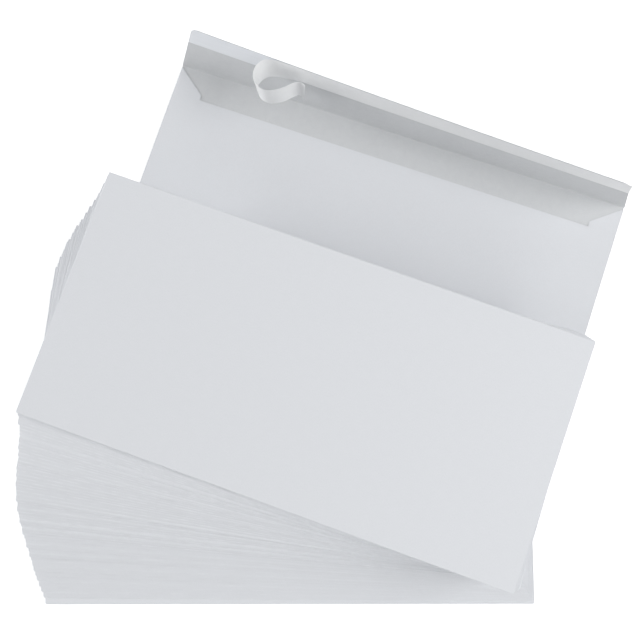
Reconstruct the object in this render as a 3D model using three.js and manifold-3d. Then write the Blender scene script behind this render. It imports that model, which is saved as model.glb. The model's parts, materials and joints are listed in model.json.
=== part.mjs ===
// A fanned stack of peel and seal envelopes, front side up, with one opened envelope lying back side up
// under it. Its seal flap stands up and its release liner is part peeled into a curl.
// Sizes are in millimetres and Z points up.
import * as THREE from "three";
import { mergeVertices } from "three/addons/utils/BufferGeometryUtils.js";
import Module from "manifold-3d";

const wasm = await Module();
wasm.setup();

// Sheet
const ENVELOPE_LENGTH = 220;
const ENVELOPE_WIDTH = 110;
const PAPER = 0.12;
const PLY_GAP = 0.1;

// Pocket of the opened envelope
const THROAT_DEPTH = 13.8;
const THROAT_CORNER_RADIUS = 2;
const SIDE_FLAP_WIDTH = 13.5;
const SHOULDER_DROP = 11.3;
const SIDE_FLAP_FOOT_DROP = 6;
const BACK_PANEL_INSET = 0.4;
const SEAM_GAP = 0.15;

// Seal flap
const FLAP_WIDTH = 35;
const FLAP_END_TAPER = 8.4;
const FLAP_CORNER_RADIUS = 3;
const FLAP_STAND_DEGREES = 87;
const FLAP_RUN_CLEARANCE = 0.1;

// Seal: the adhesive and the liner that covers it
const SEAL_BAND = 12.3;
const ADHESIVE = 0.05;
const ADHESIVE_MARGIN = 0.8;
const LINER = 0.06;
const LINER_EDGE_MARGIN = 0.2;
const LINER_GAP = 0.05;
const PEELED_LENGTH = 41.7;

// Stack
const STACK_COUNT = 49;
const LAYERS_BELOW_OPENED = 1;
const LAYER_GAP = 0.18;

// How the stack fans out from its first envelope to its top one: X, Y and the turn in degrees
const FAN_START = new THREE.Vector3(0, 0, 0);
const FAN_LEAVE = new THREE.Vector3(-10.6, 32.8, -5.75);
const FAN_ARRIVE = new THREE.Vector3(5.5, 34.9, -11.65);
const FAN_END = new THREE.Vector3(8.8, 45.25, -19.8);
const FAN_SWAY = 0.53;
const FAN_SWAYS = 3;

// How far an envelope between those two slips off the fan, to either side, and the uneven beat of it
const FAN_SLIP = 0.22;
const SLIP_BEAT_X = 7.3;
const SLIP_BEAT_Y = 5.1;

// Where the opened envelope lies, from the middle of the first envelope
const OPENED_X = 35.1;
const OPENED_Y = 109;
const OPENED_TURN_DEGREES = -18.87;

// Fineness of the rounded folds, corners and curl
const FOLD_STEPS = 4;
const CREASE_STEPS = 5;
const CORNER_STEPS = 3;
const CURL_STEPS = 30;

// Heights that follow from the plies
const POCKET_THICKNESS = 3 * PAPER + 2 * PLY_GAP;
const CLOSED_THICKNESS = 4 * PAPER + PLY_GAP;
const SIDE_FOLD_RADIUS = PAPER + PLY_GAP / 2;
const END_FOLD_RADIUS = POCKET_THICKNESS / 2;
const HINGE_HEIGHT = POCKET_THICKNESS - PAPER / 8;
const HALF_LENGTH = ENVELOPE_LENGTH / 2;
const HALF_WIDTH = ENVELOPE_WIDTH / 2;

// Heights of the plies of the seal flap, from the hinge line and with the flap folded out flat
const FLAP_FACE = PAPER - HINGE_HEIGHT;
const ADHESIVE_BASE = FLAP_FACE + LINER_GAP;
const LINER_BASE = ADHESIVE_BASE + ADHESIVE + LINER_GAP;

const paperWhite = { color: 0xe4e6eb, roughness: 0.85, metalness: 0 };
const tintedPaper = { color: 0xb9bbbd, roughness: 0.88, metalness: 0 };
const dryAdhesive = { color: 0xd6dae4, roughness: 0.35, metalness: 0 };
const siliconePaper = { color: 0xe2e4e3, roughness: 0.4, metalness: 0 };

function meshNamed(name, geometry, look) {
  const mesh = new THREE.Mesh(geometry, new THREE.MeshStandardMaterial(look));
  mesh.name = name;
  return mesh;
}

// Points along an arc, in degrees, from one angle to the other.
function arc(x, y, radius, from, to, steps) {
  return Array.from({ length: steps + 1 }, (_, i) => {
    const angle = THREE.MathUtils.degToRad(from + ((to - from) * i) / steps);
    return new THREE.Vector2(x + radius * Math.cos(angle), y + radius * Math.sin(angle));
  });
}

// An outline of straight edges whose chosen corners are rounded: each corner is [x, y] or [x, y, radius].
function roundedOutline(corners) {
  const points = corners.map(([x, y]) => new THREE.Vector2(x, y));
  return corners.flatMap(([, , radius], i) => {
    const corner = points[i];
    if (!radius) return [corner];
    const before = points.at(i - 1).clone().sub(corner).normalize();
    const after = points[(i + 1) % points.length].clone().sub(corner).normalize();
    const reach = radius / Math.tan(Math.acos(before.dot(after)) / 2);
    const curve = new THREE.QuadraticBezierCurve(
      corner.clone().addScaledVector(before, reach),
      corner,
      corner.clone().addScaledVector(after, reach),
    );
    return curve.getPoints(CORNER_STEPS);
  });
}

// A flat piece whose outline lies in the plan, between two heights.
function plate(outline, bottom, top) {
  const depth = top - bottom;
  const geometry = new THREE.ExtrudeGeometry(new THREE.Shape(outline), { depth, bevelEnabled: false });
  return geometry.translate(0, 0, bottom);
}

// A profile drawn in Y and Z, run along X on both sides of the middle.
function runAlongX(profile, length) {
  const geometry = new THREE.ExtrudeGeometry(new THREE.Shape(profile), { depth: length, bevelEnabled: false });
  const turned = new THREE.Matrix4().makeBasis(
    new THREE.Vector3(0, 1, 0),
    new THREE.Vector3(0, 0, 1),
    new THREE.Vector3(1, 0, 0),
  );
  return geometry.applyMatrix4(turned).translate(-length / 2, 0, 0);
}

// A profile drawn in X and Z, run along Y between two places.
function runAlongY(profile, from, to) {
  const depth = to - from;
  const geometry = new THREE.ExtrudeGeometry(new THREE.Shape(profile), { depth, bevelEnabled: false });
  return geometry.rotateX(Math.PI / 2).translate(0, to, 0);
}

function solidOf(geometry) {
  const bare = geometry.clone();
  bare.deleteAttribute("normal");
  bare.deleteAttribute("uv");
  const welded = mergeVertices(bare);
  const triVerts = new Uint32Array(welded.index.array);
  const vertProperties = welded.attributes.position.array;
  return new wasm.Manifold(new wasm.Mesh({ numProp: 3, vertProperties, triVerts }));
}

function geometryOf(solid) {
  const { vertProperties, triVerts } = solid.getMesh();
  const geometry = new THREE.BufferGeometry();
  geometry.setAttribute("position", new THREE.BufferAttribute(vertProperties, 3));
  geometry.setIndex(new THREE.BufferAttribute(triVerts, 1));
  const faceted = geometry.toNonIndexed();
  faceted.computeVertexNormals();
  return faceted;
}

// The part of a run profile that lies inside a plan outline.
function trimmed(geometry, outline) {
  geometry.computeBoundingBox();
  const { min, max } = geometry.boundingBox;
  const cutter = plate(outline, min.z - PAPER, max.z + PAPER);
  return geometryOf(solidOf(geometry).intersect(solidOf(cutter)));
}

// The seal flap's outline from its fold, where Y is 0, to its tip, with its ends tapered.
function flapOutline(reachBack) {
  const tip = HALF_LENGTH - FLAP_END_TAPER;
  return roundedOutline([
    [-HALF_LENGTH, -reachBack],
    [HALF_LENGTH, -reachBack],
    [HALF_LENGTH, 0],
    [tip, FLAP_WIDTH, FLAP_CORNER_RADIUS],
    [-tip, FLAP_WIDTH, FLAP_CORNER_RADIUS],
    [-HALF_LENGTH, 0],
  ]);
}

// Half the length of the seal flap at a distance from its fold.
function flapHalfLengthAt(distance) {
  return HALF_LENGTH - (FLAP_END_TAPER * distance) / FLAP_WIDTH;
}

// A closed envelope, front side up and flap side down, as the solid sheaf of its plies.
function closedEnvelope() {
  const edge = (CLOSED_THICKNESS - PAPER) / 2;
  const fold = CLOSED_THICKNESS / 2;
  const sheaf = [
    ...arc(-HALF_WIDTH + edge, PAPER + edge, edge, 90, 270, FOLD_STEPS),
    ...arc(HALF_WIDTH - fold, PAPER + edge, edge, -90, 90, FOLD_STEPS),
  ];
  const flap = [
    new THREE.Vector2(HALF_WIDTH - FLAP_WIDTH, 0),
    ...arc(HALF_WIDTH - fold, fold, fold, -90, 90, 2 * FOLD_STEPS),
    new THREE.Vector2(HALF_WIDTH - fold, PAPER + edge),
    new THREE.Vector2(HALF_WIDTH - FLAP_WIDTH, PAPER + edge),
  ];
  const outline = flapOutline(0).map((point) => new THREE.Vector2(point.x, HALF_WIDTH - point.y));
  const flapRun = runAlongX(flap, ENVELOPE_LENGTH);
  const sealed = solidOf(trimmed(flapRun, outline));
  return geometryOf(solidOf(runAlongX(sheaf, ENVELOPE_LENGTH)).add(sealed));
}

// The front panel lies lowest, because the opened envelope shows its back.
function frontPanel() {
  const side = HALF_LENGTH - SIDE_FOLD_RADIUS - SEAM_GAP;
  const bottom = -HALF_WIDTH + END_FOLD_RADIUS + SEAM_GAP;
  const fold = HALF_WIDTH - HINGE_HEIGHT + FLAP_RUN_CLEARANCE;
  const outline = [
    new THREE.Vector2(-side, bottom),
    new THREE.Vector2(side, bottom),
    new THREE.Vector2(side, fold),
    new THREE.Vector2(-side, fold),
  ];
  return plate(outline, 0, PAPER);
}

// A side flap wraps up round the side fold and lies on the front panel. Its free edge starts at the
// shoulder that shows in the throat.
function sideFlap(side) {
  const centre = HALF_LENGTH - SIDE_FOLD_RADIUS;
  const free = HALF_LENGTH - SIDE_FLAP_WIDTH;
  const top = 2 * SIDE_FOLD_RADIUS;
  const profile = [
    ...arc(centre, SIDE_FOLD_RADIUS, SIDE_FOLD_RADIUS, -90, 90, 2 * FOLD_STEPS),
    new THREE.Vector2(free, top),
    new THREE.Vector2(free, top - PAPER),
    ...arc(centre, SIDE_FOLD_RADIUS, SIDE_FOLD_RADIUS - PAPER, 90, -90, 2 * FOLD_STEPS),
  ];
  const outline = [
    [HALF_LENGTH + PAPER, -HALF_WIDTH + 2 * END_FOLD_RADIUS],
    [HALF_LENGTH + PAPER, HALF_WIDTH - HINGE_HEIGHT - 2 * FLAP_RUN_CLEARANCE],
    [HALF_LENGTH - SIDE_FOLD_RADIUS, HALF_WIDTH - HINGE_HEIGHT - 2 * FLAP_RUN_CLEARANCE],
    [free, HALF_WIDTH - SHOULDER_DROP],
    [free, -HALF_WIDTH + SIDE_FLAP_FOOT_DROP],
    [HALF_LENGTH - SIDE_FOLD_RADIUS, -HALF_WIDTH + 2 * END_FOLD_RADIUS],
  ];
  const mirrored = (x, y) => new THREE.Vector2(side * x, y);
  const run = runAlongY(
    profile.map(({ x, y }) => mirrored(x, y)),
    -HALF_WIDTH,
    HALF_WIDTH,
  );
  return trimmed(
    run,
    outline.map(([x, y]) => mirrored(x, y)),
  );
}

// The bottom fold rolls up from the front panel to the back panel.
function bottomFold() {
  const centre = -HALF_WIDTH + END_FOLD_RADIUS;
  const profile = [
    ...arc(centre, END_FOLD_RADIUS, END_FOLD_RADIUS, 270, 90, 2 * FOLD_STEPS),
    ...arc(centre, END_FOLD_RADIUS, END_FOLD_RADIUS - PAPER, 90, 270, 2 * FOLD_STEPS),
  ];
  return runAlongX(profile, ENVELOPE_LENGTH - 2 * BACK_PANEL_INSET);
}

// The back panel covers the side flaps as far as the throat.
function backPanel() {
  const bottom = -HALF_WIDTH + END_FOLD_RADIUS + SEAM_GAP;
  const throat = HALF_WIDTH - THROAT_DEPTH;
  const side = HALF_LENGTH - BACK_PANEL_INSET;
  const outline = roundedOutline([
    [-side, bottom],
    [side, bottom],
    [side, throat, THROAT_CORNER_RADIUS],
    [-side, throat, THROAT_CORNER_RADIUS],
  ]);
  return plate(outline, POCKET_THICKNESS - PAPER, POCKET_THICKNESS);
}

// The seal flap carries the crease that rolls round the hinge line as it opens.
function sealFlap() {
  const creased = -90 - FLAP_STAND_DEGREES;
  const profile = [
    new THREE.Vector2(FLAP_WIDTH, -HINGE_HEIGHT),
    new THREE.Vector2(FLAP_WIDTH, FLAP_FACE),
    ...arc(0, 0, HINGE_HEIGHT - PAPER, -90, creased, CREASE_STEPS),
    ...arc(0, 0, HINGE_HEIGHT, creased, -90, CREASE_STEPS),
  ];
  return trimmed(runAlongX(profile, ENVELOPE_LENGTH), flapOutline(HINGE_HEIGHT + PAPER));
}

// A strip on the inner face of the flap that keeps a margin to the flap's tip and ends.
function sealStrip(start, innerMargin, margin, bottom, top) {
  const inner = FLAP_WIDTH - SEAL_BAND + innerMargin;
  const outer = FLAP_WIDTH - margin;
  const cornerRadius = FLAP_CORNER_RADIUS - margin;
  const corners = [
    [start(inner), inner],
    [flapHalfLengthAt(inner) - margin, inner],
    [flapHalfLengthAt(outer) - margin, outer, cornerRadius],
    [start(outer), outer],
  ];
  return plate(roundedOutline(corners), bottom, top);
}

function adhesiveStrip() {
  const start = (distance) => ADHESIVE_MARGIN - flapHalfLengthAt(distance);
  return sealStrip(start, ADHESIVE_MARGIN, ADHESIVE_MARGIN, ADHESIVE_BASE, ADHESIVE_BASE + ADHESIVE);
}

function peelLine() {
  return PEELED_LENGTH - flapHalfLengthAt(FLAP_WIDTH);
}

function releaseLiner() {
  return sealStrip(peelLine, 0, LINER_EDGE_MARGIN, LINER_BASE, LINER_BASE + LINER);
}

// The peeled end of the liner springs into a loop in front of the flap. The route runs from the peel
// line, in X from that line and in height off the liner's own level, for a loop of the peeled length.
function curlRoute() {
  const reach = PEELED_LENGTH;
  const route = [
    [-0.004, 0],
    [-0.06, 0.012],
    [-0.12, 0.045],
    [-0.195, 0.15],
    [-0.165, 0.275],
    [-0.055, 0.34],
    [0.07, 0.31],
    [0.175, 0.225],
    [0.265, 0.155],
    [0.33, 0.14],
  ].map(([x, rise]) => new THREE.Vector3(peelLine() + x * reach, LINER_BASE + LINER / 2 + rise * reach, 0));
  return new THREE.CatmullRomCurve3(route, false, "centripetal");
}

function linerTail() {
  const route = curlRoute();
  const sides = [LINER / 2, -LINER / 2].map((offset) =>
    Array.from({ length: CURL_STEPS + 1 }, (_, i) => {
      const point = route.getPointAt(i / CURL_STEPS);
      const along = route.getTangentAt(i / CURL_STEPS);
      return new THREE.Vector2(point.x - along.y * offset, point.y + along.x * offset);
    }),
  );
  const profile = [...sides[0], ...sides[1].reverse()];
  return runAlongY(profile, FLAP_WIDTH - SEAL_BAND, FLAP_WIDTH - LINER_EDGE_MARGIN);
}

// Where an envelope of the stack lies: its place on the fan and its underside's height.
function layerPlace(index) {
  const share = index / (STACK_COUNT - 1);
  const fan = new THREE.CubicBezierCurve3(FAN_START, FAN_LEAVE, FAN_ARRIVE, FAN_END).getPoint(share);
  const sway = FAN_SWAY * Math.sin(FAN_SWAYS * Math.PI * share);
  const slip = share > 0 && share < 1 ? FAN_SLIP : 0;
  const opened = index < LAYERS_BELOW_OPENED ? 0 : POCKET_THICKNESS + LAYER_GAP;
  return {
    x: fan.x + sway + slip * Math.sin(SLIP_BEAT_X * index ** 2),
    y: fan.y + slip * Math.cos(SLIP_BEAT_Y * index ** 2),
    z: index * (CLOSED_THICKNESS + LAYER_GAP) + opened,
    turn: THREE.MathUtils.degToRad(fan.z),
  };
}

function stack() {
  const group = new THREE.Group();
  const closed = closedEnvelope();
  for (let index = 0; index < STACK_COUNT; index++) {
    const isTop = index === STACK_COUNT - 1;
    const name = isTop ? "top_envelope" : "stack_envelope_" + String(index + 1).padStart(2, "0");
    const envelope = meshNamed(name, closed, paperWhite);
    const { x, y, z, turn } = layerPlace(index);
    envelope.position.set(x, y, z);
    envelope.rotation.z = turn;
    group.add(envelope);
  }
  return group;
}

function hingedFlap() {
  const flap = new THREE.Group();
  flap.add(meshNamed("seal_flap", sealFlap(), tintedPaper));
  flap.add(meshNamed("adhesive_strip", adhesiveStrip(), dryAdhesive));
  flap.add(meshNamed("release_liner", releaseLiner(), siliconePaper));
  flap.add(meshNamed("liner_tail", linerTail(), siliconePaper));
  flap.position.set(0, HALF_WIDTH, HINGE_HEIGHT);
  flap.rotation.x = THREE.MathUtils.degToRad(FLAP_STAND_DEGREES);
  return flap;
}

function openedEnvelope() {
  const envelope = new THREE.Group();
  envelope.add(meshNamed("front_panel", frontPanel(), tintedPaper));
  envelope.add(meshNamed("left_side_flap", sideFlap(-1), paperWhite));
  envelope.add(meshNamed("right_side_flap", sideFlap(1), paperWhite));
  envelope.add(meshNamed("bottom_fold", bottomFold(), paperWhite));
  envelope.add(meshNamed("back_panel", backPanel(), paperWhite));
  envelope.add(hingedFlap());
  envelope.position.set(OPENED_X, OPENED_Y, LAYERS_BELOW_OPENED * (CLOSED_THICKNESS + LAYER_GAP));
  envelope.rotation.z = THREE.MathUtils.degToRad(OPENED_TURN_DEGREES);
  return envelope;
}

// The whole set stands on Z 0, with the origin under the middle of its box.
function envelopeSet() {
  const set = new THREE.Group();
  set.add(stack(), openedEnvelope());
  const middle = new THREE.Box3().setFromObject(set, true).getCenter(new THREE.Vector3());
  set.position.set(-middle.x, -middle.y, 0);
  return new THREE.Group().add(set);
}

export default envelopeSet();
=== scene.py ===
import json
import math
import random

import bpy
import numpy as np
from mathutils import Euler, Matrix, Vector


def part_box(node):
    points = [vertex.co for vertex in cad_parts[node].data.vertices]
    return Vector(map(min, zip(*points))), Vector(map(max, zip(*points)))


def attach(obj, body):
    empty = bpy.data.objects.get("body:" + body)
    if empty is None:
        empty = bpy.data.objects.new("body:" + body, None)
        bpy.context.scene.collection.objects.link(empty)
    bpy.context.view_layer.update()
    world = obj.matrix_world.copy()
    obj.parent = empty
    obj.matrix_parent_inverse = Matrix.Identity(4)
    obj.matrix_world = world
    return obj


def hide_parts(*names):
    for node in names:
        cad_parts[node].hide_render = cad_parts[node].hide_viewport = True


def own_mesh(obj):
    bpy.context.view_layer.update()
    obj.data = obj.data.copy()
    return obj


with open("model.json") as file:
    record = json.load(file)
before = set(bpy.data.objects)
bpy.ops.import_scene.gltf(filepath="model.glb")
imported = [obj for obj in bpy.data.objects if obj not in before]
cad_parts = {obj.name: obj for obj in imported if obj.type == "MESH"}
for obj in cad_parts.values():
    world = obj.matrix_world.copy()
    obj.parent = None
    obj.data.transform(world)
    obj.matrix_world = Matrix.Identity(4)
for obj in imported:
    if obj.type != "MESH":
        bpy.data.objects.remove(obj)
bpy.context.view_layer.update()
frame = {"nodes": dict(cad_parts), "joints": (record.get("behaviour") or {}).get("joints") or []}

# Sizes are in millimetres and become metres in the scene, apart from those of the looks and the room
MM = 0.001

# Sheet
HALF_LENGTH = 110
HALF_WIDTH = 55
PAPER = 0.12

# Closed envelope, front side up
CLOSED_THICKNESS = 0.58
CLOSED_SIDE_RADIUS = 0.17
CLOSED_FRONT_RADIUS = 0.23
CLOSED_FLAP_RADIUS = 0.29

# Unevenness of a closed envelope: long waves, in half turns over its half length and half width, and ripples
# that fade behind its front fold
WAVE_COUNT = 3
WAVE_TURNS = (0.4, 1.6)
WAVE_HEIGHT = 0.035
RIPPLE_COUNT = 6
RIPPLE_LENGTHS = (7, 26)
RIPPLE_HEIGHT = 0.22
RIPPLE_DEPTH = 4
PHASES = (0, 6.28)

# Unevenness of the stack: how far each layer slips, how many degrees it turns, and how far the fronts of the
# lowest and of the highest layers sink
LAYER_SLIP = 0.17
LAYER_TWIST = 0.06
SETTLED_LAYERS = 14
SETTLE = 0.7
SAGGED_LAYERS = 14
SAG = 0.85

# The front folds' lowest and highest points: on the floor, over an envelope that doesn't show, sunk onto one
# that does, and on top of the stack
FLOOR_FOLD = (0, 0.5)
RAISED_FOLD = (-0.15, 0.6)
SUNK_FOLD = (-0.34, -0.06)
TOP_FOLD = (0.14, 0.58)

# How far the envelope below stands out where a fold is sunk all the way, and the slope's least and most depth
SINK_STEP = 1.1
SINK_DEPTH = (0.6, 2.2)

# How far the short ends hang down, and from how far in
END_DROOP = 0.26
END_DROOP_DEPTH = 3

# Opened envelope, back side up, with places from its middle
POCKET_THICKNESS = 0.56
THROAT = 41.2
THROAT_CORNER = 2
BACK_INSET = 0.4
THROAT_DIP = 0.25
THROAT_DIP_DEPTH = 60
THROAT_DIP_ENDS = (75, 95)
SIDE_FLAP_WIDTH = 13.5
SIDE_FOLD_RADIUS = 0.17
SHOULDER = 43.7
SIDE_FLAP_FOOT = 6
SIDE_FLAP_CLEARANCE = 0.75
END_FOLD_RADIUS = 0.28
FOLD_LAP = 2

# Seal flap, measured from its fold
FLAP_WIDTH = 35
FLAP_TAPER = 8.4
FLAP_CORNER = 3
SEAL_BAND = 12.3
CREASE_RADIUS = 0.545
STAND_DEGREES = 87
CREASE_LAP = 0.6
FLAP_FACE = PAPER - CREASE_RADIUS

# How far the flap's tip leans towards the pocket from the CAD flap's plane, along the fold
LEAN_MIDDLE = 0.4
LEAN_SLOPE = 0.0333
LEAN_BOW = -0.000043
LEAN_POWER = 1.15

# Seal: the thickness of each film, the gap under it and its distance from the band's edges
ADHESIVE = 0.05
ADHESIVE_GAP = 0.05
ADHESIVE_MARGIN = 0.3
LINER = 0.06
LINER_GAP = 0.075
LINER_MARGIN = 0.2
LINER_TINT_MARGIN = 0.05
LINER_OVERHANG = 0.8

# The peeled liner's edges near the flap's tip and near the tint, from the free end to the peel line:
# place along the fold and rise off the flap
CURL_TIP_EDGE = [
    (-45.6, 6.4),
    (-48.2, 5.7),
    (-50.8, 7.1),
    (-53.9, 10.2),
    (-58.1, 13.4),
    (-62.0, 14.7),
    (-65.9, 13.7),
    (-68.3, 11.4),
    (-69.2, 8.4),
    (-68.9, 5.2),
    (-67.0, 2.2),
    (-64.0, 0.7),
    (-60.0, 0.15),
    (-54.0, 0.0),
]
CURL_TINT_EDGE = [
    (-45.9, 7.1),
    (-48.4, 6.3),
    (-50.8, 8.1),
    (-53.8, 11.3),
    (-57.9, 13.8),
    (-61.2, 14.6),
    (-64.2, 13.8),
    (-66.6, 11.2),
    (-67.3, 8.2),
    (-66.2, 5.0),
    (-63.9, 2.7),
    (-60.1, 1.4),
    (-55.6, 0.8),
    (-50.0, 0.0),
]

# Steps of every fold, lap and rounded corner
FOLD_STEPS = 8
LAP_STEPS = 2
CORNER_DEGREES = (15, 30, 45, 60, 75, 90)

# Steps of a closed envelope, which are fine near its front fold
ENVELOPE_STEPS = 80
CLOSED_SIDE_STEPS = 4
CLOSED_BACK_STEPS = 7
CLOSED_FRONT_STEPS = 10
CLOSED_FLAP_STEPS = 4
FINE_STEPS = 10
FINE_DEPTH = 4.4

# Steps of the opened envelope, its flap and its liner
PANEL_LENGTH_STEPS = 40
FRONT_WIDTH_STEPS = 20
SIDE_WIDTH_STEPS = 8
SIDE_LENGTH_STEPS = 24
BACK_LENGTH_STEPS = 48
BACK_WIDTH_STEPS = 29
FLAP_LENGTH_STEPS = 60
FLAP_TINT_STEPS = 13
FLAP_BAND_STEPS = 5
CURVE_STEPS = 12
CURL_STEPS = 64
STUCK_STEPS = 49
LINER_WIDTH_STEPS = 8

# The material slots of a sheet, and the angle from which an edge is shown sharp
OUTER, INNER, CUT = 0, 1, 2
SHARP_DEGREES = 50

# Random seeds
STACK_SEED = 11
TOP_SEED = 5

# Colours: white paper, its printed inside, the ink there, and the one that tints nothing
WHITE = (0.775, 0.787, 0.811)
INSIDE = (0.815, 0.825, 0.832)
INK = (0.605, 0.616, 0.624)
UNTINTED = (1, 1, 1)

# Fibres of the paper, painted highlight in dashes along the front folds, printed lines and coatings, with
# sizes in metres
FIBRE_SIZE = 0.00028
FIBRE_STRETCH = (1, 0.35, 1)
TOOTH = 0.000012
DASH_SIZE = 0.005
DASH_STRETCH = (1, 0.1, 0.1)
DASH_SPREAD = 60
DASH_LIMITS = (0.42, 0.62)
DASH_RIM = 0.0005
TINT_PITCH = 0.00042
COATING_TOOTH = 0.00001

# The distance between the lines of Blender's wave texture at scale 1
WAVE_TEXTURE_PITCH = math.pi / 10

# The colour sockets of Blender's mix node, whose names are shared by its sockets of other kinds
MIX_FIRST, MIX_SECOND, MIX_RESULT = 6, 7, 2

# Room, in metres, with the strength of the floor's glow at the two distances of its reach
FLOOR_DROP = 0.0002
FLOOR_SIZE = 8
FLOOR_GREY = 0.88
FLOOR_MOTTLE = 0.01
FLOOR_GLOW = (0.5, 0.7)
FLOOR_GLOW_REACH = (0.4, 1.8)
SKY_COLOUR = (0.965, 0.98, 1.0)
SKY_STRENGTH = 0.375

# Soft lights: place and size across in metres, and power in watts
LIGHTS = {
    "right_light": ((0.75, -0.1, 0.7), 0.7, 5.2),
    "left_light": ((-1.3, 0.2, 0.4), 0.7, 11.4),
    "front_light": ((0.4, -1.3, 0.6), 0.9, 3.0),
    "back_light": ((0.0, 1.4, 1.0), 0.9, 2.4),
}

# Camera: place from the middle of the lowest envelope, turn in radians, lens, sensor and near limit
CAMERA_PLACE = (20.388, 27.267, 417.818)
CAMERA_TURN = (0.11009, 0.01465, -0.00287)
CAMERA_LENS = 50.83
CAMERA_SENSOR = 36
CAMERA_NEAR = 10


# Places

def place_of(node):
    """A closed envelope's middle, turn and lowest height, read from its CAD node."""
    mesh = frame["nodes"][node].data
    points = np.array([v.co[:] for v in mesh.vertices])
    ends = np.array([e.vertices[:] for e in mesh.edges])
    spans = points[ends[:, 1], :2] - points[ends[:, 0], :2]
    spans = spans[np.linalg.norm(spans, axis=1) > HALF_LENGTH * MM]
    fits = []
    for turn in np.unique(np.round(np.arctan(spans[:, 1] / spans[:, 0]), decimals=6)):
        along = np.array([math.cos(turn), math.sin(turn)])
        across = np.array([-along[1], along[0]])
        reach = [(axis, points[:, :2] @ axis) for axis in (along, across)]
        area = math.prod(float(np.ptp(places)) for _, places in reach)
        fits.append((area, turn, sum(axis * (places.min() + places.max()) / 2 for axis, places in reach)))
    _, turn, middle = min(fits, key=lambda fit: fit[0])
    return middle, turn, points[:, 2].min()


def placed(middle, turn, height):
    return Matrix.Translation((*middle, height)) @ Matrix.Rotation(turn, 4, "Z")


def opened_place():
    """The opened envelope's own frame: X along its fold, Y towards the fold, Z up from its front panel."""
    hinge = next(joint for joint in frame["joints"] if joint["name"] == "flap_fold")
    turn = math.atan2(hinge["axis"][1], hinge["axis"][0])
    towards_fold = Vector((-math.sin(turn), math.cos(turn), 0))
    middle = Vector(hinge["pos_m"]) - towards_fold * HALF_WIDTH * MM
    return placed(middle.xy, turn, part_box("front_panel")[0].z)


def flap_place(opened):
    """The seal flap's own frame: X along the fold, Y from the fold to the tip, Z off its inner face."""
    hinge = Matrix.Translation(Vector((0, HALF_WIDTH, CREASE_RADIUS)) * MM)
    return opened @ hinge @ Matrix.Rotation(math.radians(STAND_DEGREES), 4, "X")


# Sheets

def line(first, last, steps):
    """Even places or points from the first to the last."""
    return np.linspace(first, last, steps + 1)


def arc(centre, radius, first, last):
    """A round stretch of a profile, between two angles in degrees."""
    angles = np.radians(line(first, last, FOLD_STEPS))
    return np.stack([centre[0] + radius * np.cos(angles), centre[1] + radius * np.sin(angles)], 1)


def level(places, height):
    """A flat profile through places that are all at one height."""
    return np.stack([places, np.full_like(places, height)], 1)


def joined(*stretches):
    """One profile from stretches that meet end to end."""
    return np.concatenate([stretches[0], *(stretch[1:] for stretch in stretches[1:])])


def to_corner(first, last, steps, radius):
    """Even places up to a rounded corner, then closer ones round it to the last place."""
    corner = last - radius + radius * np.sin(np.radians(CORNER_DEGREES))
    return np.concatenate([line(first, last - radius, steps), corner])


def corner_inset(place, last, radius):
    """How far a rounded corner at the last place draws an edge in."""
    into_corner = np.clip(place - (last - radius), 0, radius)
    return radius - np.sqrt(radius**2 - into_corner**2)


def mirrored(profile):
    """The same profile on the other side, run the other way so that its outer face stays outside."""
    return profile[::-1] * [-1, 1]


def beside(profile, distance):
    """The profile moved to its right by a distance."""
    tangent = np.gradient(profile, axis=0)
    tangent /= np.linalg.norm(tangent, axis=1, keepdims=True)
    return profile + np.stack([tangent[:, 1], -tangent[:, 0]], 1) * distance


def ribbon(profile, low, high, steps, along):
    """Points of a profile run along X or Y between two limits, which may differ from point to point.

    The steps are a number of even ones, or the shares of the run where they end.
    """
    low = np.broadcast_to(low, len(profile))[:, None]
    high = np.broadcast_to(high, len(profile))[:, None]
    shares = line(0, 1, steps) if isinstance(steps, int) else steps
    run = low + (high - low) * shares
    across = np.broadcast_to(profile[:, :1], run.shape)
    up = np.broadcast_to(profile[:, 1:], run.shape)
    if along == "Y":
        return np.stack([across, run, up], -1)
    return np.stack([run, across, up], -1).transpose(1, 0, 2)


def folded(profile, low, high, steps, along, thickness=PAPER):
    """A sheet that follows a profile, with its outer face on the profile's left."""
    inner = beside(profile, thickness)
    return ribbon(profile, low, high, steps, along), ribbon(inner, low, high, steps, along)


def thickened(outer, thickness):
    """A sheet under a grid of points, by the grid's own normals."""
    normal = np.cross(np.gradient(outer, axis=0), np.gradient(outer, axis=1))
    normal /= np.linalg.norm(normal, axis=2, keepdims=True)
    return outer, outer - normal * thickness


def bent(sheets, height_at):
    """The sheets with a height added that depends on the place in the plan."""

    def moved(points):
        return points + height_at(points[..., 0], points[..., 1])[..., None] * [0, 0, 1]

    return [tuple(moved(side) for side in sheet) for sheet in sheets]


def eased(share):
    """0 to 1 with level ends."""
    return (1 - np.cos(math.pi * np.clip(share, 0, 1))) / 2


def sheet_faces(rows, columns, start):
    """Faces of a closed sheet and their material slots."""
    count = rows * columns
    grid = np.arange(count).reshape(rows, columns) + start
    outer = np.stack([grid[:-1, :-1], grid[1:, :-1], grid[1:, 1:], grid[:-1, 1:]], -1).reshape(-1, 4)
    inner = outer[:, ::-1] + count
    loop = np.concatenate([grid[:, 0], grid[-1, 1:], grid[-2::-1, -1], grid[0, -2:0:-1]])
    following = np.roll(loop, -1)
    rim = np.stack([loop + count, following + count, following, loop], 1)
    faces = np.concatenate([outer, inner, rim])
    slots = np.repeat([OUTER, INNER, CUT], [len(outer), len(inner), len(rim)])
    return faces, slots


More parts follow.
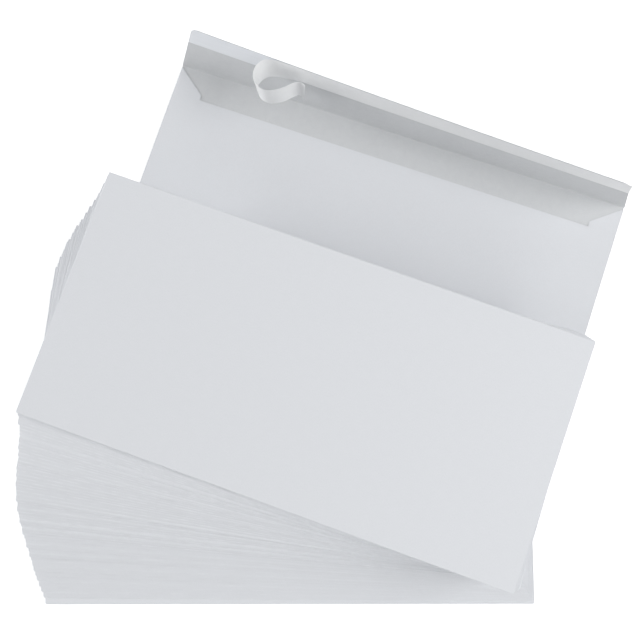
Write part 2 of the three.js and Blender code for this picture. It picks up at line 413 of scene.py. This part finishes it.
def mesh_of(name, sheets, materials):
    """A mesh in metres of several closed sheets."""
    points, faces, slots = [], [], []
    start = 0
    for outer, inner in sheets:
        rows, columns = outer.shape[:2]
        found, found_slots = sheet_faces(rows, columns, start)
        points += [outer.reshape(-1, 3), inner.reshape(-1, 3)]
        faces.append(found)
        slots.append(found_slots)
        start += 2 * rows * columns
    mesh = bpy.data.meshes.new(name)
    mesh.from_pydata((np.concatenate(points) * MM).tolist(), [], np.concatenate(faces).tolist())
    for material in materials:
        mesh.materials.append(material)
    mesh.polygons.foreach_set("material_index", np.concatenate(slots).astype(np.int32))
    mesh.shade_smooth()
    mesh.set_sharp_from_angle(angle=math.radians(SHARP_DEGREES))
    return mesh


def shown(mesh, matrix, body):
    """A piece with the mesh's name, put in its place on its body."""
    piece = bpy.data.objects.new(mesh.name, mesh)
    bpy.context.scene.collection.objects.link(piece)
    piece.matrix_world = matrix
    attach(piece, body)
    return piece


# Materials

class Look:
    """A material's node tree, with short calls to add nodes and join them."""

    def __init__(self, name):
        self.material = bpy.data.materials.new(name)
        self.material.use_nodes = True
        self.tree = self.material.node_tree
        self.shader = self.tree.nodes["Principled BSDF"]
        self.output = self.tree.nodes["Material Output"]
        self.place = self.add("ShaderNodeTexCoord").outputs["Object"]

    def add(self, kind, **inputs):
        node = self.tree.nodes.new(kind)
        for socket, value in inputs.items():
            node.inputs[socket.replace("_", " ")].default_value = value
        return node

    def link(self, source, target):
        self.tree.links.new(source, target)

    def stretched(self, scale):
        mapping = self.add("ShaderNodeMapping", Scale=scale)
        self.link(self.place, mapping.inputs["Vector"])
        return mapping.outputs["Vector"]

    def noise(self, size, detail, scale=(1, 1, 1)):
        """Noise whose blotches are about size metres across."""
        node = self.add("ShaderNodeTexNoise", Scale=1 / size, Detail=detail, Roughness=0.55)
        self.link(self.stretched(scale), node.inputs["Vector"])
        return node.outputs["Fac"]

    def waves(self, direction, pitch):
        """Fine wavy lines across a direction, a pitch in metres apart."""
        scale = WAVE_TEXTURE_PITCH / pitch
        node = self.add("ShaderNodeTexWave", Scale=scale, Distortion=1.6, Detail=1.0, Detail_Scale=0.35)
        node.bands_direction = direction
        self.link(self.place, node.inputs["Vector"])
        return node.outputs["Fac"]

    def ramp(self, factor, first, last, low=0.0, high=1.0):
        """The first colour up to the low factor, the last one from the high factor."""
        node = self.add("ShaderNodeValToRGB")
        node.color_ramp.elements[0].position = low
        node.color_ramp.elements[1].position = high
        node.color_ramp.elements[0].color = (*first, 1)
        node.color_ramp.elements[1].color = (*last, 1)
        self.link(factor, node.inputs["Fac"])
        return node.outputs["Color"]

    def blend(self, kind, first, second, factor=1.0):
        node = self.add("ShaderNodeMix")
        node.data_type = "RGBA"
        node.blend_type = kind
        node.inputs["Factor"].default_value = factor
        self.link(first, node.inputs[MIX_FIRST])
        self.link(second, node.inputs[MIX_SECOND])
        return node.outputs[MIX_RESULT]

    def mapped(self, value, first, last, low=0.0, high=1.0):
        """The value brought from one range to another, and held at its ends."""
        node = self.add("ShaderNodeMapRange", From_Min=first, From_Max=last, To_Min=low, To_Max=high)
        self.link(value, node.inputs["Value"])
        return node.outputs["Result"]

    def product(self, first, second):
        node = self.add("ShaderNodeMath")
        node.operation = "MULTIPLY"
        self.link(first, node.inputs[0])
        if isinstance(second, (int, float)):
            node.inputs[1].default_value = second
        else:
            self.link(second, node.inputs[1])
        return node.outputs["Value"]

    def bump(self, height, distance, over=None):
        node = self.add("ShaderNodeBump", Distance=distance, Strength=0.4)
        self.link(height, node.inputs["Height"])
        if over:
            self.link(over, node.inputs["Normal"])
        return node.outputs["Normal"]

    def finished(self, colour, normal, roughness, specular):
        """The material, once its shader has a colour, a surface and a finish."""
        self.link(colour, self.shader.inputs["Base Color"])
        if normal:
            self.link(normal, self.shader.inputs["Normal"])
        self.shader.inputs["Roughness"].default_value = roughness
        self.shader.inputs["Specular IOR Level"].default_value = specular
        return self.material


def shaded(colour, share):
    return tuple(channel * share for channel in colour)


def paper_look(name, colour, roughness=0.86, mottle=0.006, tooth=TOOTH, fold_highlight_share=None):
    """Uncoated paper: cloudy formation, fine fibres, a faint tooth and, if asked for, a painted highlight
    along the front fold.
    """
    look = Look(name)
    cloud = look.noise(size=0.0035, detail=4)
    fibres = look.noise(size=FIBRE_SIZE, detail=3, scale=FIBRE_STRETCH)
    body = look.ramp(cloud, shaded(colour, 1 - mottle), shaded(colour, 1 + mottle / 2), low=0.3, high=0.7)
    flecks = look.ramp(fibres, (0.975, 0.976, 0.978), UNTINTED, low=0.35, high=0.6)
    paper = look.blend("MULTIPLY", body, flecks)
    if fold_highlight_share:
        paper = painted_fold_highlight(look, paper, fold_highlight_share)
    normal = look.bump(fibres, tooth, over=look.bump(cloud, tooth))
    return look.finished(paper, normal, roughness=roughness, specular=0.3)


def painted_fold_highlight(look, paper, shine):
    """Painted highlight in lighter dashes along the front fold, where it catches the light, different on each
    envelope.
    """
    own = look.product(look.add("ShaderNodeObjectInfo").outputs["Random"], DASH_SPREAD)
    dashes = look.add("ShaderNodeTexNoise", Scale=1 / DASH_SIZE, Detail=1.5, Roughness=0.6)
    dashes.noise_dimensions = "4D"
    look.link(look.stretched(DASH_STRETCH), dashes.inputs["Vector"])
    look.link(own, dashes.inputs["W"])
    amount = look.mapped(dashes.outputs["Fac"], *DASH_LIMITS)
    axes = look.add("ShaderNodeSeparateXYZ")
    look.link(look.place, axes.inputs["Vector"])
    rim = look.mapped(axes.outputs["Y"], DASH_RIM - HALF_WIDTH * MM, -HALF_WIDTH * MM)
    # Painted highlight: the paper is lightened by up to the given share near the front fold
    lift = look.ramp(look.product(rim, amount), UNTINTED, shaded(UNTINTED, shine))
    return look.blend("MULTIPLY", paper, lift)


def tint_look():
    """The printed inside: two sets of fine wavy lines that cross, over the same paper."""
    look = Look("tinted_inside")
    waves = [look.waves(direction, TINT_PITCH) for direction in ("X", "Y")]
    lines = [look.ramp(wave, INK, INSIDE, low=0.25, high=0.6) for wave in waves]
    print_colour = look.blend("DARKEN", *lines, factor=0.75)
    cloud = look.noise(size=0.003, detail=4)
    fibres = look.noise(size=FIBRE_SIZE, detail=3, scale=FIBRE_STRETCH)
    cloudy = look.ramp(cloud, (0.96, 0.96, 0.965), UNTINTED, low=0.3, high=0.7)
    colour = look.blend("MULTIPLY", print_colour, cloudy)
    return look.finished(colour, look.bump(fibres, TOOTH), roughness=0.9, specular=0.25)


def adhesive_look():
    """A dry film of adhesive, smoother than the paper under it, with faint coating streaks."""
    look = Look("dry_adhesive")
    streaks = look.noise(size=0.0009, detail=2, scale=(0.06, 1, 1))
    colour = look.ramp(streaks, (0.85, 0.87, 0.90), (0.88, 0.90, 0.93), low=0.3, high=0.7)
    return look.finished(colour, look.bump(streaks, COATING_TOOTH), roughness=0.32, specular=0.4)


def liner_look():
    """Siliconed release paper: thin, smooth and faintly streaked along its length."""
    look = Look("release_paper")
    cloud = look.noise(size=0.0022, detail=4)
    streaks = look.noise(size=0.0011, detail=2, scale=(0.08, 1, 1))
    colour = look.ramp(cloud, (0.885, 0.89, 0.89), (0.91, 0.915, 0.915), low=0.3, high=0.7)
    normal = look.bump(streaks, COATING_TOOTH, over=look.bump(cloud, COATING_TOOTH))
    return look.finished(colour, normal, roughness=0.3, specular=0.8)


white_paper = paper_look("white_paper", WHITE)
# Papers with a painted highlight along the front fold, faint on the first and stronger on the second
pressed_paper = paper_look("pressed_paper", WHITE, fold_highlight_share=1.03)
rubbed_paper = paper_look("rubbed_paper", WHITE, fold_highlight_share=1.09)
cut_white = shaded(WHITE, share=1.04)
cut_paper = paper_look("cut_paper_edge", cut_white, roughness=0.95, mottle=0.05, tooth=0.00003)
tinted_paper = tint_look()
dry_adhesive = adhesive_look()
release_paper = liner_look()
PAPER_SLOTS = [white_paper, tinted_paper, cut_paper]
FAINT_HIGHLIGHT_SLOTS = [pressed_paper, tinted_paper, cut_paper]
FOLD_HIGHLIGHT_SLOTS = [rubbed_paper, tinted_paper, cut_paper]


# Closed envelopes

def flap_half_length(distance):
    """Half the seal flap's length at a distance from its fold, with its tip's corners rounded."""
    distance = np.clip(distance, 0, FLAP_WIDTH)
    return HALF_LENGTH - FLAP_TAPER * distance / FLAP_WIDTH - corner_inset(distance, FLAP_WIDTH, FLAP_CORNER)


def closed_side():
    """The left side flap's profile, folded in under the front panel."""
    fold = -HALF_LENGTH + CLOSED_SIDE_RADIUS
    top = CLOSED_THICKNESS
    under = top - 2 * CLOSED_SIDE_RADIUS
    return joined(
        line((-HALF_LENGTH + SIDE_FLAP_WIDTH, under), (fold, under), CLOSED_SIDE_STEPS),
        arc((fold, top - CLOSED_SIDE_RADIUS), CLOSED_SIDE_RADIUS, 270, 90),
    )


def closed_back():
    """The back panel's profile, from the throat to the front fold and up round it."""
    front = -HALF_WIDTH + CLOSED_FRONT_RADIUS
    return joined(
        line((THROAT, PAPER), (front + FINE_DEPTH, PAPER), CLOSED_BACK_STEPS),
        line((front + FINE_DEPTH, PAPER), (front, PAPER), FINE_STEPS),
        arc((front, PAPER + CLOSED_FRONT_RADIUS), CLOSED_FRONT_RADIUS, 270, 90),
    )


def closed_flap():
    """The sealed flap, folded under the back panel: its profile, and its half length at each point."""
    back = HALF_WIDTH - CLOSED_FLAP_RADIUS
    distances = to_corner(CLOSED_FLAP_RADIUS, FLAP_WIDTH, CLOSED_FLAP_STEPS, FLAP_CORNER)
    fold = arc((back, CLOSED_FLAP_RADIUS), CLOSED_FLAP_RADIUS, 90, -90)
    flap = joined(fold, level(HALF_WIDTH - distances, 0))
    past_fold = np.arange(len(flap)) > FOLD_STEPS
    half = np.where(past_fold, flap_half_length(HALF_WIDTH - flap[:, 0]), HALF_LENGTH - PAPER)
    return flap, half


def closed_sheets():
    """The sheets of a closed envelope: front panel, side flaps, back panel and the flap folded over it."""
    top = CLOSED_THICKNESS
    side = HALF_LENGTH - CLOSED_SIDE_RADIUS
    front = -HALF_WIDTH + CLOSED_FRONT_RADIUS
    back = HALF_WIDTH - CLOSED_FLAP_RADIUS
    fine = FINE_DEPTH / (back - front)
    from_front = joined(line(0, fine, FINE_STEPS), line(fine, 1, CLOSED_FRONT_STEPS))
    across = line((-side, top), (side, top), ENVELOPE_STEPS)
    left = closed_side()
    back_half = HALF_LENGTH - BACK_INSET
    flap, flap_half = closed_flap()
    return [
        folded(across, front, back, from_front, "Y"),
        folded(left, front + PAPER, back - PAPER, from_front, "Y"),
        folded(mirrored(left), front + PAPER, back - PAPER, from_front, "Y"),
        folded(closed_back(), -back_half, back_half, ENVELOPE_STEPS, "X"),
        folded(flap, -flap_half, flap_half, ENVELOPE_STEPS, "X"),
    ]


def waviness(chance):
    """A gentle unevenness of a whole envelope, and shorter ripples along its front fold."""
    waves = []
    for _ in range(WAVE_COUNT):
        along = chance.uniform(*WAVE_TURNS) / HALF_LENGTH
        across = chance.uniform(*WAVE_TURNS) / HALF_WIDTH
        waves.append((along, across, chance.uniform(*PHASES)))
    ripples = [(chance.uniform(*RIPPLE_LENGTHS), chance.uniform(*PHASES)) for _ in range(RIPPLE_COUNT)]

    def height_at(x, y):
        whole = sum(np.sin(math.pi * (along * x + across * y) + phase) for along, across, phase in waves)
        edge = sum(np.sin(math.tau * x / length + phase) for length, phase in ripples)
        near_fold = np.exp(-(y + HALF_WIDTH) / RIPPLE_DEPTH)
        return WAVE_HEIGHT * whole / WAVE_COUNT + RIPPLE_HEIGHT * edge / RIPPLE_COUNT * near_fold

    return height_at


def sunk(sheets, step_at, raised=RAISED_FOLD):
    """The sheets with the front fold sunk where the envelope below stands out in front of it.

    The slope behind the fold is as long as the envelope below stands out, so that the slopes make one ramp.
    """

    def moved(points):
        x, y, z = np.moveaxis(points, -1, 0)
        step = step_at(x)
        share = np.clip(step / SINK_STEP, 0, 1)
        low, high = (first + (last - first) * share for first, last in zip(raised, SUNK_FOLD))
        target = low + (z - PAPER) / (CLOSED_THICKNESS - PAPER) * (high - low)
        behind_fold = y + HALF_WIDTH - CLOSED_FRONT_RADIUS
        near_fold = np.clip(1 - behind_fold / np.clip(step, *SINK_DEPTH), 0, 1)
        return np.stack([x, y, z + (target - z) * near_fold], -1)

    return [tuple(moved(side) for side in sheet) for sheet in sheets]


def no_step(x):
    return 0 * x


def step_over(own, below):
    """How far the envelope below stands out in front of an envelope, along its length."""
    along, across, _, offset = (below.inverted() @ own)[1]

    def step_at(x):
        return along * x - across * HALF_WIDTH + offset / MM + HALF_WIDTH

    return step_at


def drooped(x, y):
    """The short ends hang down onto the envelope below."""
    return -END_DROOP * eased(1 - (HALF_LENGTH - abs(x)) / END_DROOP_DEPTH)


def settled(index, count):
    """How far the front of an envelope sinks, by its place in the stack.

    The low ones sink into the room in front of the opened envelope, the high ones away from the top envelope.
    """
    low = max(0, 1 - (index - 1) / SETTLED_LAYERS) if index else 0
    high = max(0, 1 - (count - 1 - index) / SAGGED_LAYERS)

    def height_at(x, y):
        return -(SETTLE * low + SAG * high) * np.clip(-y / HALF_WIDTH, 0, 1) ** 2

    return height_at


def resting(sheets, own, below):
    """The sheets as they lie on the envelope below or, if there is none, on the floor."""
    if below:
        return bent(sunk(sheets, step_over(own, below)), drooped)
    return sunk(sheets, no_step, FLOOR_FOLD)


def make_stack():
    chance = random.Random(STACK_SEED)
    sheets = closed_sheets()
    nodes = sorted(name for name in frame["nodes"] if name.startswith("stack_envelope_"))
    below = None
    for index, node in enumerate(nodes):
        middle, turn, height = place_of(node)
        slip = np.array([chance.uniform(-1, 1), chance.uniform(-1, 1)]) * LAYER_SLIP * MM
        turn += math.radians(chance.uniform(-1, 1) * LAYER_TWIST)
        own = placed(middle + slip, turn, height)
        shape = bent(resting(sheets, own, below), waviness(chance))
        shape = bent(shape, settled(index, len(nodes)))
        # The lowest layers get the faint painted fold highlight, the others the stronger one
        slots = FAINT_HIGHLIGHT_SLOTS if index < SETTLED_LAYERS else FOLD_HIGHLIGHT_SLOTS
        piece = shown(mesh_of("paper_" + node, shape, slots), own, "stack")
        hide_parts(node)
        below = own


def make_top_envelope():
    shape = bent(sunk(closed_sheets(), no_step, TOP_FOLD), waviness(random.Random(TOP_SEED)))
    # The top envelope gets the faint painted fold highlight
    mesh = mesh_of("paper_top_envelope", shape, FAINT_HIGHLIGHT_SLOTS)
    piece = shown(mesh, placed(*place_of("top_envelope")), "top_envelope")
    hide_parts("top_envelope")


# Opened envelope

def make_front_panel(opened):
    side = HALF_LENGTH - SIDE_FOLD_RADIUS
    under = line((side, 0), (-side, 0), PANEL_LENGTH_STEPS)
    sheet = folded(under, -HALF_WIDTH + END_FOLD_RADIUS, HALF_WIDTH, FRONT_WIDTH_STEPS, "Y")
    mesh = mesh_of("front_panel_paper", [sheet], PAPER_SLOTS)
    piece = shown(mesh, opened, "open_envelope")
    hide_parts("front_panel")


def side_flap():
    """The left side flap, folded in over the front panel: its profile, its foot and its slanted shoulder."""
    fold = -HALF_LENGTH + SIDE_FOLD_RADIUS
    free = -HALF_LENGTH + SIDE_FLAP_WIDTH
    profile = joined(
        arc((fold, SIDE_FOLD_RADIUS), SIDE_FOLD_RADIUS, 270, 90),
        line((fold, 2 * SIDE_FOLD_RADIUS), (free, 2 * SIDE_FOLD_RADIUS), SIDE_WIDTH_STEPS),
    )
    inwards = np.clip((profile[:, 0] - fold) / (free - fold), 0, 1)
    foot = -HALF_WIDTH + 2 * END_FOLD_RADIUS
    low = foot + (-HALF_WIDTH + SIDE_FLAP_FOOT - foot) * inwards
    head = HALF_WIDTH - SIDE_FLAP_CLEARANCE
    high = head + (SHOULDER - head) * inwards
    return profile, low, high


def make_side_flaps(opened):
    profile, low, high = side_flap()
    left = folded(profile, low, high, SIDE_LENGTH_STEPS, "Y")
    right = folded(mirrored(profile), low[::-1], high[::-1], SIDE_LENGTH_STEPS, "Y")
    for name, sheet in (("left_side_flap", left), ("right_side_flap", right)):
        mesh = mesh_of(name + "_paper", [sheet], PAPER_SLOTS)
        piece = shown(mesh, opened, "open_envelope")
        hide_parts(name)


def make_bottom_fold(opened):
    """The fold that joins the front panel to the back panel along the bottom edge."""
    fold = -HALF_WIDTH + END_FOLD_RADIUS
    half = HALF_LENGTH - BACK_INSET
    profile = joined(
        line((fold + FOLD_LAP, 0), (fold, 0), LAP_STEPS),
        arc((fold, END_FOLD_RADIUS), END_FOLD_RADIUS, 270, 90),
    )
    sheet = folded(profile, -half, half, PANEL_LENGTH_STEPS, "X")
    mesh = mesh_of("bottom_fold_paper", [sheet], PAPER_SLOTS)
    piece = shown(mesh, opened, "open_envelope")
    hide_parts("bottom_fold")


def throat_dip(x, y):
    """The back panel sinks onto the front panel towards the throat, between the side flaps."""
    near, far = THROAT_DIP_ENDS
    between = 1 - eased((abs(x) - near) / (far - near))
    return -THROAT_DIP * between * eased(1 + (y - THROAT) / THROAT_DIP_DEPTH)


def make_back_panel(opened):
    places = to_corner(-HALF_WIDTH + END_FOLD_RADIUS, THROAT, BACK_WIDTH_STEPS, THROAT_CORNER)
    half = HALF_LENGTH - BACK_INSET - corner_inset(places, THROAT, THROAT_CORNER)
    sheet = folded(level(places, POCKET_THICKNESS), -half, half, BACK_LENGTH_STEPS, "X")
    mesh = mesh_of("back_panel_paper", bent([sheet], throat_dip), PAPER_SLOTS)
    piece = shown(mesh, opened, "open_envelope")
    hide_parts("back_panel")


# Seal flap

def lean(along, distance):
    """How far the flap's paper stands off the CAD flap's plane towards the pocket."""
    at_tip = LEAN_MIDDLE + LEAN_SLOPE * along + LEAN_BOW * along**2
    return at_tip * np.clip(distance / FLAP_WIDTH, 0, 1) ** LEAN_POWER


def flatten_with_fold(piece):
    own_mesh(piece)


def make_crease(flap):
    """The stretch of paper that rolls round the hinge line, from the front panel into the flap."""
    profile = joined(
        line((CREASE_LAP, -CREASE_RADIUS), (0, -CREASE_RADIUS), LAP_STEPS),
        arc((0, 0), CREASE_RADIUS, -90, -90 - STAND_DEGREES),
    )
    sheet = folded(profile, -HALF_LENGTH, HALF_LENGTH, PANEL_LENGTH_STEPS, "X")
    shown(mesh_of("flap_crease_paper", [sheet], PAPER_SLOTS), flap, "flap")


def make_flap(flap):
    """The flap's paper, tinted inside as far as the seal band."""
    tint_edge = FLAP_WIDTH - SEAL_BAND
    distances = joined(
        line(CREASE_LAP / 2, tint_edge, FLAP_TINT_STEPS),
        to_corner(tint_edge, FLAP_WIDTH, FLAP_BAND_STEPS, FLAP_CORNER),
    )
    profile = level(distances[::-1], -CREASE_RADIUS)
    half = flap_half_length(profile[:, 0])
    sheet = folded(profile, -half, half, FLAP_LENGTH_STEPS, "X")
    mesh = mesh_of("seal_flap_paper", bent([sheet], lean), PAPER_SLOTS)
    for face in mesh.polygons:
        if face.material_index == INNER and face.center.y > tint_edge * MM:
            face.material_index = OUTER
    piece = shown(mesh, flap, "flap")
    flatten_with_fold(piece)
    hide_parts("seal_flap")


def make_adhesive(flap):
    near = FLAP_WIDTH - SEAL_BAND + ADHESIVE_MARGIN
    distances = to_corner(near, FLAP_WIDTH - ADHESIVE_MARGIN, FLAP_BAND_STEPS, FLAP_CORNER)
    half = flap_half_length(distances) - ADHESIVE_MARGIN
    profile = level(distances, FLAP_FACE + ADHESIVE_GAP + ADHESIVE)
    sheet = folded(profile, -half, half, FLAP_LENGTH_STEPS, "X", ADHESIVE)
    mesh = mesh_of("adhesive_film", bent([sheet], lean), [dry_adhesive])
    piece = shown(mesh, flap, "flap")
    flatten_with_fold(piece)
    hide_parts("adhesive_strip")


def smooth_route(points):
    """Points at even distances along a Catmull-Rom curve through the given ones."""
    points = np.array(points, float)
    padded = np.concatenate([2 * points[:1] - points[1:2], points, 2 * points[-1:] - points[-2:-1]])
    share = line(0, 1, CURVE_STEPS)[:-1, None]
    curve = []
    for before, first, last, after in zip(padded, padded[1:], padded[2:], padded[3:]):
        curve.append(0.5 * (
            2 * first
            + (last - before) * share
            + (2 * before - 5 * first + 4 * last - after) * share**2
            + (3 * first - before - 3 * last + after) * share**3
        ))
    curve = np.concatenate([*curve, points[-1:]])
    walked = np.concatenate([[0], np.cumsum(np.linalg.norm(np.diff(curve, axis=0), axis=1))])
    even = line(0, walked[-1], CURL_STEPS)
    return np.stack([np.interp(even, walked, curve[:, axis]) for axis in (0, 1)], 1)


def liner_grid():
    """Places along the fold, distances from it and rises off the flap, from the free end to the stuck end."""
    across = line(0, 1, LINER_WIDTH_STEPS)
    near = FLAP_WIDTH - SEAL_BAND + LINER_TINT_MARGIN
    distance = near + (FLAP_WIDTH - LINER_MARGIN - near) * across
    tint_edge = smooth_route(CURL_TINT_EDGE)
    tip_edge = smooth_route(CURL_TIP_EDGE)
    curl = tint_edge[:, None] + (tip_edge - tint_edge)[:, None] * across[:, None]
    peel_line = curl[-1, :, 0]
    end = HALF_LENGTH - FLAP_TAPER * distance / FLAP_WIDTH + LINER_OVERHANG * across
    stuck = peel_line + (end - peel_line) * line(0, 1, STUCK_STEPS)[1:, None]
    along = np.concatenate([curl[..., 0], stuck])
    rise = np.concatenate([curl[..., 1], np.zeros_like(stuck)])
    return along, np.broadcast_to(distance, along.shape), rise


def make_liner(flap):
    """The release liner in one length: its loose loop, then the stretch that still covers the adhesive."""
    along, distance, rise = liner_grid()
    height = FLAP_FACE + ADHESIVE_GAP + ADHESIVE + LINER_GAP + LINER + rise + lean(along, distance)
    sheet = thickened(np.stack([along, distance, height], -1), LINER)
    piece = shown(mesh_of("release_liner_strip", [sheet], [release_paper]), flap, "liner")
    flatten_with_fold(piece)
    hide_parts("release_liner", "liner_tail")


# Room

def floor_look():
    """Plain white, with a glow that only the camera sees and that grows away from the object."""
    look = Look("pale_floor")
    grain = look.noise(size=0.02, detail=2)
    dark, pale = shaded(UNTINTED, FLOOR_GREY - FLOOR_MOTTLE), shaded(UNTINTED, FLOOR_GREY)
    material = look.finished(look.ramp(grain, dark, pale, low=0.3, high=0.7), None, roughness=1, specular=0)
    away = look.add("ShaderNodeVectorMath")
    away.operation = "LENGTH"
    look.link(look.place, away.inputs[0])
    strength = look.mapped(away.outputs["Value"], *FLOOR_GLOW_REACH, *FLOOR_GLOW)
    seen = look.add("ShaderNodeLightPath").outputs["Is Camera Ray"]
    glow = look.add("ShaderNodeEmission", Color=(1, 1, 1, 1))
    look.link(look.product(seen, strength), glow.inputs["Strength"])
    both = look.add("ShaderNodeAddShader")
    look.link(look.shader.outputs["BSDF"], both.inputs[0])
    look.link(glow.outputs["Emission"], both.inputs[1])
    look.link(both.outputs["Shader"], look.output.inputs["Surface"])
    return material


def make_floor():
    """A plain white floor that keeps the object's soft shadow."""
    bpy.ops.mesh.primitive_plane_add(size=FLOOR_SIZE, location=(0, 0, -FLOOR_DROP))
    floor = bpy.context.object
    floor.name = "floor"
    floor.data.materials.append(floor_look())


def make_sky():
    """Soft light from all round, and plain white where the camera sees past the floor."""
    world = bpy.data.worlds.new("studio")
    world.use_nodes = True
    bpy.context.scene.world = world
    nodes, links = world.node_tree.nodes, world.node_tree.links
    light = nodes["Background"]
    light.inputs["Color"].default_value = (*SKY_COLOUR, 1)
    light.inputs["Strength"].default_value = SKY_STRENGTH
    white = nodes.new("ShaderNodeBackground")
    white.inputs["Color"].default_value = (1, 1, 1, 1)
    rays = nodes.new("ShaderNodeLightPath")
    pick = nodes.new("ShaderNodeMixShader")
    links.new(rays.outputs["Is Camera Ray"], pick.inputs["Fac"])
    links.new(light.outputs["Background"], pick.inputs[1])
    links.new(white.outputs["Background"], pick.inputs[2])
    links.new(pick.outputs["Shader"], nodes["World Output"].inputs["Surface"])


def make_light(name, place, size, power):
    light = bpy.data.lights.new(name, "AREA")
    light.shape = "DISK"
    light.size = size
    light.energy = power
    lamp = bpy.data.objects.new(name, light)
    bpy.context.scene.collection.objects.link(lamp)
    lamp.location = place
    lamp.rotation_euler = (-Vector(place)).to_track_quat("-Z", "Y").to_euler()


def make_camera():
    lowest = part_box("stack_envelope_01")
    middle = (lowest[0] + lowest[1]) / 2
    data = bpy.data.cameras.new("camera")
    data.lens = CAMERA_LENS
    data.sensor_width = CAMERA_SENSOR
    data.clip_start = CAMERA_NEAR * MM
    camera = bpy.data.objects.new("camera", data)
    bpy.context.scene.collection.objects.link(camera)
    camera.location = Vector((middle.x, middle.y, 0)) + Vector(CAMERA_PLACE) * MM
    camera.rotation_euler = Euler(CAMERA_TURN, "XYZ")
    bpy.context.scene.camera = camera


opened_frame = opened_place()
flap_frame = flap_place(opened_frame)

make_camera()
make_floor()
make_sky()
for light_name, settings in LIGHTS.items():
    make_light(light_name, *settings)
make_stack()
make_top_envelope()
make_front_panel(opened_frame)
make_side_flaps(opened_frame)
make_bottom_fold(opened_frame)
make_back_panel(opened_frame)
make_crease(flap_frame)
make_flap(flap_frame)
make_adhesive(flap_frame)
make_liner(flap_frame)
bpy.context.scene.view_settings.view_transform = "Standard"
